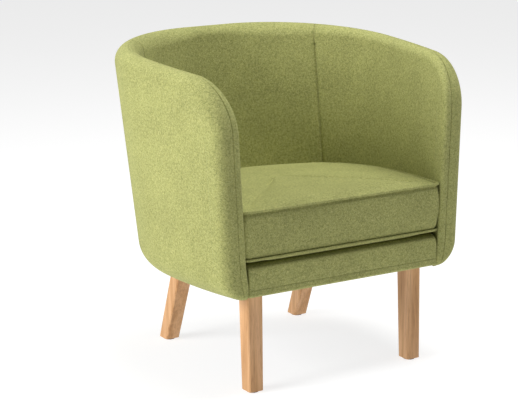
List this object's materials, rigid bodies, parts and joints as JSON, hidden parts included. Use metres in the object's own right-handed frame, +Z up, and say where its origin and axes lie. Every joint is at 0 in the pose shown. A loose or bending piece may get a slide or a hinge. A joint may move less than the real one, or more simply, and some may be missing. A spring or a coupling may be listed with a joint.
{
  "type": "tub chair",
  "caption": "Low tub chair with a green felt U-shaped shell, loose piped seat cushion and raked square oak legs.",
  "frame": {"origin": "middle of the bounding box's base, on the floor under the chair", "axes": "+X towards the side on the viewer's right when looking at the chair's front (the sitter's left), +Y towards the back of the chair, +Z up; the sitter faces -Y"},
  "size_m": [0.761, 0.6553, 0.765],
  "materials": {
    "melange_felt": "light moss green wool felt with yellow-green and darker flecks",
    "foam": "matt cream upholstery foam",
    "fibreboard": "plain fibreboard",
    "frame_timber": "sawn beech, unfinished",
    "webbing": "woven elastic webbing",
    "black_cloth": "thin black non-woven cloth",
    "oak": "light oak, matt lacquer",
    "glide_plastic": "matt dark plastic",
    "zinc_steel": "zinc plated",
    "zip_tape": "woven tape to match the fabric",
    "zip_nylon": "nylon coil to match the fabric",
    "zip_metal": "dull nickel"
  },
  "bodies": {
    "chair": {"arm_foam_left": "foam", "arm_foam_right": "foam", "arm_front_pad_left": "foam", "arm_front_pad_right": "foam", "arm_post_left": "frame_timber", "arm_post_right": "frame_timber", "arm_straps": "webbing", "back_board": "fibreboard", "back_foam": "foam", "back_posts": "frame_timber", "back_rail": "frame_timber", "back_straps": "webbing", "bottom_rib_back": "frame_timber", "bottom_rib_left": "frame_timber", "bottom_rib_right": "frame_timber", "corner_post_left": "frame_timber", "corner_post_right": "frame_timber", "deck_cloth": "black_cloth", "deck_pad": "foam", "dust_cloth": "black_cloth", "front_block_left": "frame_timber", "front_block_right": "frame_timber", "front_leg_left": "oak", "front_leg_right": "oak", "front_rail": "frame_timber", "front_rail_cover": "melange_felt", "front_rail_foam": "foam", "glides": "glide_plastic", "hanger_bolts": "zinc_steel", "hex_nuts": "zinc_steel", "inner_back_cover": "melange_felt", "inner_side_cover_left": "melange_felt", "inner_side_cover_right": "melange_felt", "outer_cover": "melange_felt", "rear_block_left": "frame_timber", "rear_block_right": "frame_timber", "rear_leg_left": "oak", "rear_leg_right": "oak", "seat_straps_across": "webbing", "seat_straps_along": "webbing", "side_board_left": "fibreboard", "side_board_right": "fibreboard", "side_rail_left": "frame_timber", "side_rail_right": "frame_timber", "top_rib_back": "frame_timber", "top_rib_left": "frame_timber", "top_rib_right": "frame_timber"},
    "cushion": {"cushion_foam": "foam", "cushion_top": "melange_felt", "cushion_bottom": "melange_felt", "cushion_border": "melange_felt", "piping_top": "melange_felt", "piping_bottom": "melange_felt", "zip_tape": "zip_tape", "zip_chain": "zip_nylon"},
    "zip_slider": {"zip_slider": "zip_metal"}
  },
  "joints": [
    {"name": "cushion_lift", "type": "slide", "parent": "chair", "child": "cushion", "axis": [0, 0, 1], "range_m": [0, 0.46]},
    {"name": "zip_slide", "type": "hinge", "parent": "cushion", "child": "zip_slider", "pos_m": [0, -0.24534, 0.3824], "axis": [0, 0, 1], "range_deg": [0, 48]}
  ]
}
